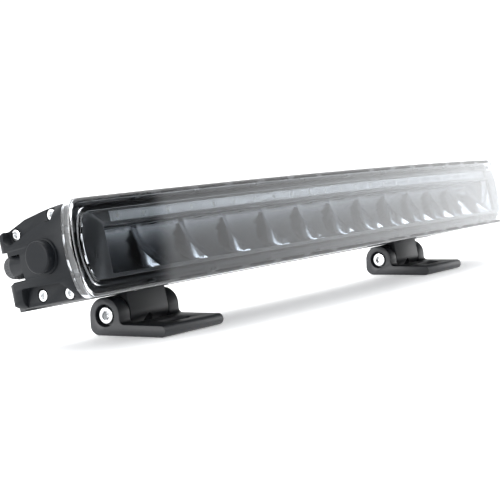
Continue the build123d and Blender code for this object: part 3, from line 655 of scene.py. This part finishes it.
class LIGHTBAR_OT_light_guide(bpy.types.Operator):
    """Ribbed acrylic strip of the position light"""

    bl_idname = "lightbar.light_guide"
    bl_label = "Light Guide"

    def execute(self, context):
        shape = context.scene.light_bar_shape
        columns = 4 * round(GUIDE_HALF_LENGTH / shape.guide_rib_pitch)
        bm = bmesh.new()
        grid = bmesh.ops.create_grid(
            bm, x_segments=columns, y_segments=2, size=1,
            matrix=Matrix.Rotation(math.pi / 2, 4, "X"),
        )["verts"]
        bmesh.ops.scale(bm, vec=(GUIDE_HALF_LENGTH, 1, GUIDE_HEIGHT / 2), verts=grid)
        column_width = 2 * GUIDE_HALF_LENGTH / columns
        for vert in grid:
            column = round((vert.co.x + GUIDE_HALF_LENGTH) / column_width)
            edge = abs(vert.co.z) > 0.4 * GUIDE_HEIGHT
            vert.co.y = GUIDE_FRONT + (shape.guide_rib_depth if column % 2 or edge else 0)
        bmesh.ops.translate(bm, vec=(0, 0, GUIDE_BOTTOM + GUIDE_HEIGHT / 2), verts=grid)
        back = bmesh.ops.extrude_face_region(bm, geom=bm.faces[:])["geom"]
        for item in back:
            if isinstance(item, bmesh.types.BMVert):
                item.co.y = GUIDE_FRONT + GUIDE_DEPTH
        bend_onto_bar(bm)
        finish_piece(bm, "ribbed_light_guide", "light_bar",
                     FINISHES["light_guide"], ("light_guide",), 25)
        return {"FINISHED"}


class LIGHTBAR_OT_leds(bpy.types.Operator):
    """Ceramic packages and phosphor windows of the main LEDs"""

    bl_idname = "lightbar.leds"
    bl_label = "LEDs"

    def execute(self, context):
        package = bmesh.new()
        window = bmesh.new()
        thickness = 0.62 * MM
        ease = 0.12 * MM
        dome = 0.26 * MM
        for cell in range(CELL_COUNT):
            arc = (cell - (CELL_COUNT - 1) / 2) * CELL_PITCH
            low = LED_BOARD_BOTTOM - thickness
            add_shape(package, rounded_box((LED_WIDTH, LED_WIDTH, thickness), ease),
                      Matrix.Translation((arc, LED_DEPTH, low + thickness / 2)))
            turned = lathe(((0, -dome), (0.8 * MM, -0.8 * dome), (1.15 * MM, -0.3 * dome),
                            (1.25 * MM, 0), (0, 0)), 24)
            add_shape(window, turned, Matrix.Translation((arc, LED_DEPTH, low)))
        for bm, name, finish, stands_for in (
            (package, "led_packages", "led_emitter", ("leds",)),
            (window, "led_phosphor_windows", "phosphor", ()),
        ):
            bend_onto_bar(bm)
            finish_piece(bm, name, "light_bar", FINISHES[finish], stands_for)
        return {"FINISHED"}


class LIGHTBAR_OT_lens_clips(bpy.types.Operator):
    """Clips that hold the lens against its seal"""

    bl_idname = "lightbar.lens_clips"
    bl_label = "Lens Clips"

    def execute(self, context):
        spacing = context.scene.light_bar_shape.clip_spacing
        bm = bmesh.new()
        for step in range(CLIP_COUNT):
            arc = (step - (CLIP_COUNT - 1) / 2) * spacing
            for height in (-CLIP_HEIGHT, CLIP_HEIGHT):
                add_shape(bm, rounded_box(CLIP_SIZE, CLIP_EASE),
                          Matrix.Translation((arc, CLIP_DEPTH, height)))
        for side, _ in SIDES:
            for height in END_CLIP_HEIGHTS:
                add_shape(bm, rounded_box(END_CLIP_SIZE, CLIP_EASE),
                          Matrix.Translation((side * END_CLIP_ARC, CLIP_DEPTH, height)))
        bend_onto_bar(bm)
        finish_piece(bm, "lens_clips", "light_bar", FINISHES["black_bezel"])
        return {"FINISHED"}


class LIGHTBAR_OT_screws(bpy.types.Operator):
    """Socket head screws of the end caps, pivots and clamps"""

    bl_idname = "lightbar.screws"
    bl_label = "Screws"

    def execute(self, context):
        shape = context.scene.light_bar_shape
        for side, name in SIDES:
            bm = bmesh.new()
            for depth, height in CAP_SCREWS:
                where = facing(side * CAP_SCREW_ARC, depth * MM, height * MM, side)
                add_shape(bm, socket_screw(shape.screw_key_m3, **CAP_SCREW), where)
            finish_piece(bm, f"cap_screw_set_{name}", "light_bar",
                         FINISHES["zinc_screw"], (f"cap_screws_{name}",))

            bm = bmesh.new()
            low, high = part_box(f"pivot_screws_{name}")
            middle = (low + high) / 2
            reach = (high - low).x / 2 - PIVOT_SCREW["head_height"]
            for face in (-1, 1):
                seat = middle + Vector((face * reach, 0, 0))
                where = Matrix.Translation(seat) @ Matrix.Rotation(face * math.pi / 2, 4, "Y")
                add_shape(bm, socket_screw(shape.screw_key_m5, **PIVOT_SCREW), where)
            finish_piece(bm, f"pivot_screw_set_{name}", f"slider_{name}",
                         FINISHES["zinc_screw"], (f"pivot_screws_{name}",))

            bm = bmesh.new()
            seat = section(side * FOOT_ARC, CLAMP_DEPTH, CLAMP_SEAT)
            add_shape(bm, socket_screw(shape.screw_key_m5, **CLAMP_SCREW),
                      seat @ Matrix.Rotation(math.pi, 4, "X"))
            finish_piece(bm, f"clamp_screw_body_{name}", f"slider_{name}",
                         FINISHES["zinc_screw"], (f"clamp_screw_{name}",))
        return {"FINISHED"}


class LIGHTBAR_OT_plugs(bpy.types.Operator):
    """Round plugs on the end caps"""

    bl_idname = "lightbar.plugs"
    bl_label = "Side Plugs"

    def execute(self, context):
        radius, height = PLUG_RADIUS, PLUG_HEIGHT
        groove = 0.35 * MM
        for side, name in SIDES:
            bm = lathe((
                (0, height),
                (0.72 * radius, height),
                (radius - 0.9 * MM, height - 0.03 * MM),
                (radius - 0.45 * MM, height - 0.14 * MM),
                (radius - 0.14 * MM, height - 0.42 * MM),
                (radius, height - 0.85 * MM),
                (radius, 0.5 * MM),
                (radius - groove, 0.42 * MM),
                (radius - groove, 0),
                (PLUG_SHANK_RADIUS, 0),
                (PLUG_SHANK_RADIUS, 0.3 * MM - PLUG_SHANK_LENGTH),
                (PLUG_SHANK_RADIUS - 0.3 * MM, -PLUG_SHANK_LENGTH),
                (0, -PLUG_SHANK_LENGTH),
            ), ROUND_STEPS)
            where = facing(side * PLUG_ARC, PLUG_DEPTH, 0, side)
            bmesh.ops.transform(bm, matrix=where, verts=bm.verts)
            finish_piece(bm, f"side_plug_knob_{name}", "light_bar",
                         FINISHES["plug_plastic"], (f"side_plug_{name}",))
        return {"FINISHED"}


class LIGHTBAR_OT_glands(bpy.types.Operator):
    """Knurled nut of the cable gland, and the breather on the other cap"""

    bl_idname = "lightbar.glands"
    bl_label = "Gland and Breather"

    def execute(self, context):
        radius = GLAND_RADIUS
        inside = 4.65 * MM
        hole = 3.42 * MM
        seal_back = 2.6 * MM
        bm = lathe((
            (inside, 0.02 * MM),
            (radius - 0.35 * MM, 0.02 * MM),
            (radius, 0.35 * MM),
            (radius, 3.2 * MM),
            (radius - 0.35 * MM, 3.95 * MM),
            (radius - 0.9 * MM, 4.38 * MM),
            (4.0 * MM, 4.5 * MM),
            (3.7 * MM, 4.42 * MM),
            (hole, 4.1 * MM),
            (hole, seal_back),
            (inside, seal_back),
            (inside, 0.02 * MM),
        ), ROUND_STEPS)
        rib([vert for vert in bm.verts if 0.3 * MM < vert.co.z < 3.3 * MM],
            radius - 0.05 * MM, GLAND_RIDGES, 0.42 * MM)
        where = backwards(-GLAND_ARC, GLAND_BACK + GLAND_COLLAR, GLAND_HEIGHT)
        bmesh.ops.transform(bm, matrix=where, verts=bm.verts)
        finish_piece(bm, "gland_knurled_nut", "light_bar",
                     FINISHES["gland_plastic"], ("gland_nut",))

        bm = lathe((
            (0, 0.6 * MM),
            (1.2 * MM, 0.6 * MM),
            (1.5 * MM, 0.9 * MM),
            (1.5 * MM, 2.7 * MM),
            (1.8 * MM, 3.0 * MM),
            (radius - 0.7 * MM, 3.0 * MM),
            (radius - 0.2 * MM, 2.8 * MM),
            (radius, 2.3 * MM),
            (radius, 0.3 * MM),
            (radius - 0.3 * MM, 0),
            (4.0 * MM, 0),
            (4.0 * MM, -7.6 * MM),
            (3.7 * MM, -8.0 * MM),
            (0, -8.0 * MM),
        ), ROUND_STEPS)
        rib([vert for vert in bm.verts if 0.2 * MM < vert.co.z < 2.5 * MM],
            radius - 0.05 * MM, GLAND_RIDGES, 0.3 * MM)
        where = backwards(GLAND_ARC, GLAND_BACK, GLAND_HEIGHT)
        bmesh.ops.transform(bm, matrix=where, verts=bm.verts)
        finish_piece(bm, "breather_body", "light_bar",
                     FINISHES["gland_plastic"], ("breather",))
        return {"FINISHED"}


# ---- Stage -----------------------------------------------------------------------------
CAMERA_AT = Vector((-0.781, -0.43656, 0.0957))
CAMERA_FORWARD = Vector((0.849, 0.523, -0.074))
CAMERA_RIGHT = Vector((0.521, -0.852, -0.044))


class LIGHTBAR_OT_stage(bpy.types.Operator):
    """Pale floor, soft lights, surround and camera"""

    bl_idname = "lightbar.stage"
    bl_label = "Studio"

    def execute(self, context):
        studio = context.scene.light_bar_studio
        self.make_floor(studio)
        self.make_surround(studio)
        self.make_light("top_softbox", (0.1, 0.35, 1.5), (0, 0, 0.03), (1.6, 1.2), 9.0)
        self.make_light("side_softbox", (-1.65, 0.55, 0.47), (-0.2, 0, 0.04), (0.8, 0.9), 16.0)
        self.make_camera(studio)
        context.scene.view_settings.view_transform = "Standard"
        return {"FINISHED"}

    def make_floor(self, studio):
        bm = bmesh.new()
        bmesh.ops.create_grid(bm, x_segments=8, y_segments=8, size=6)
        bmesh.ops.translate(bm, vec=(0, 0, -0.2 * MM), verts=bm.verts)
        mesh = bpy.data.meshes.new("floor")
        bm.to_mesh(mesh)
        bm.free()
        floor = bpy.data.objects.new("floor", mesh)
        bpy.context.scene.collection.objects.link(floor)
        finish = material("floor_paper")
        tooth = finish.noise(300, 2)
        tone = tuple(studio.backdrop)
        mesh.materials.append(finish.surface(
            Base_Color=finish.between(tooth, tone, tuple(0.985 * part for part in tone)),
            Roughness=0.62 + tooth * 0.06,
            Emission_Color=(*tone, 1),
            Emission_Strength=studio.floor_glow,
        ))

    def make_surround(self, studio):
        """Pale walls all round, with a dark side in front of the lens."""
        world = bpy.data.worlds.new("studio")
        bpy.context.scene.world = world
        finish = Finish(world, "ShaderNodeOutputWorld")
        axes = finish.node("ShaderNodeTexCoord", output="Generated")
        split = finish.node("ShaderNodeSeparateXYZ", inputs={0: axes}).socket.node
        x, y, z = (Signal(finish, split.outputs[index]) for index in range(3))
        front_angle = y.math("ARCTAN2", y * -1, x)  # 0 at the right, a quarter turn in front
        edge = math.radians(48)
        right = finish.node("ShaderNodeMapRange", {"interpolation_type": "SMOOTHSTEP"},
                            {0: front_angle + z * 0.35, 1: edge - 0.03, 2: edge, 3: 1.0, 4: 0.0})
        glow = finish.node("ShaderNodeMapRange", {},
                           {0: front_angle, 1: math.radians(13), 2: math.radians(42), 3: 2.1, 4: 0.9})
        left = finish.node("ShaderNodeMapRange", {"interpolation_type": "SMOOTHSTEP"},
                           {0: y * 0.34 - x * 0.94, 1: 0.87, 2: 0.95, 3: 0.0, 4: 1.0})
        above = finish.node("ShaderNodeMapRange", {"interpolation_type": "SMOOTHSTEP"},
                            {0: z, 1: 0.27, 2: 0.42, 3: 0.0, 4: 1.8})
        back = finish.node("ShaderNodeMapRange", {"interpolation_type": "SMOOTHSTEP"},
                           {0: y.math("MINIMUM", y, y * 0.45 + x), 1: 0.0, 2: 0.08, 3: 0.0, 4: 1.0})
        front_right = right * (1 - back) * glow
        lit = front_right.math("MAXIMUM", left.math("MAXIMUM", left, above), back)
        lit = front_right.math("MAXIMUM", front_right, lit)
        tone = lit * (studio.surround - studio.flag) + studio.flag
        seen = finish.node("ShaderNodeLightPath", output="Is Camera Ray")
        strength = tone + seen * (studio.seen - tone)
        shader = finish.node("ShaderNodeBackground", inputs={0: (0.985, 0.992, 1.0, 1), 1: strength})
        finish.tree.links.new(shader.socket, finish.output.inputs["Surface"])

    def make_light(self, name, at, target, size, power):
        lamp = bpy.data.lights.new(name, "AREA")
        lamp.shape = "RECTANGLE"
        lamp.size, lamp.size_y = size
        lamp.energy = power
        light = bpy.data.objects.new(name, lamp)
        light.location = at
        light.rotation_euler = (Vector(target) - Vector(at)).to_track_quat("-Z", "Y").to_euler()
        light.visible_camera = False
        bpy.context.scene.collection.objects.link(light)

    def make_camera(self, studio):
        camera = bpy.data.objects.new("camera", bpy.data.cameras.new("camera"))
        camera.data.lens = studio.focal_length
        camera.data.sensor_width = 36
        camera.data.clip_start = 0.01
        forward = CAMERA_FORWARD.normalized()
        right = (CAMERA_RIGHT - forward * CAMERA_RIGHT.dot(forward)).normalized()
        up = right.cross(forward)
        turn = Matrix((right, up, -forward)).transposed()
        camera.matrix_world = Matrix.Translation(CAMERA_AT) @ turn.to_4x4()
        bpy.context.scene.collection.objects.link(camera)
        bpy.context.scene.camera = camera


# ---- Panel and registration ------------------------------------------------------------
OPERATORS = (
    LIGHTBAR_OT_cad_finishes,
    LIGHTBAR_OT_castings,
    LIGHTBAR_OT_light_guide,
    LIGHTBAR_OT_leds,
    LIGHTBAR_OT_lens_clips,
    LIGHTBAR_OT_screws,
    LIGHTBAR_OT_plugs,
    LIGHTBAR_OT_glands,
    LIGHTBAR_OT_stage,
)


class LIGHTBAR_PT_panel(bpy.types.Panel):
    """Lists the pieces and their settings"""

    bl_idname = "LIGHTBAR_PT_panel"
    bl_label = "Light Bar"
    bl_space_type = "VIEW_3D"
    bl_region_type = "UI"
    bl_category = "Light Bar"

    def draw(self, context):
        for settings in (context.scene.light_bar_shape, context.scene.light_bar_studio):
            for name in settings.__annotations__:
                self.layout.prop(settings, name)
        for operator in OPERATORS:
            self.layout.operator(operator.bl_idname)


CLASSES = (LightBarShape, LightBarStudio, *OPERATORS, LIGHTBAR_PT_panel)


def register():
    for cls in CLASSES:
        bpy.utils.register_class(cls)
    bpy.types.Scene.light_bar_shape = bpy.props.PointerProperty(type=LightBarShape)
    bpy.types.Scene.light_bar_studio = bpy.props.PointerProperty(type=LightBarStudio)


def unregister():
    del bpy.types.Scene.light_bar_studio
    del bpy.types.Scene.light_bar_shape
    for cls in reversed(CLASSES):
        bpy.utils.unregister_class(cls)


def main():
    register()
    for operator in OPERATORS:
        group, name = operator.bl_idname.split(".")
        getattr(getattr(bpy.ops, group), name)()


if __name__ == "__main__":
    main()
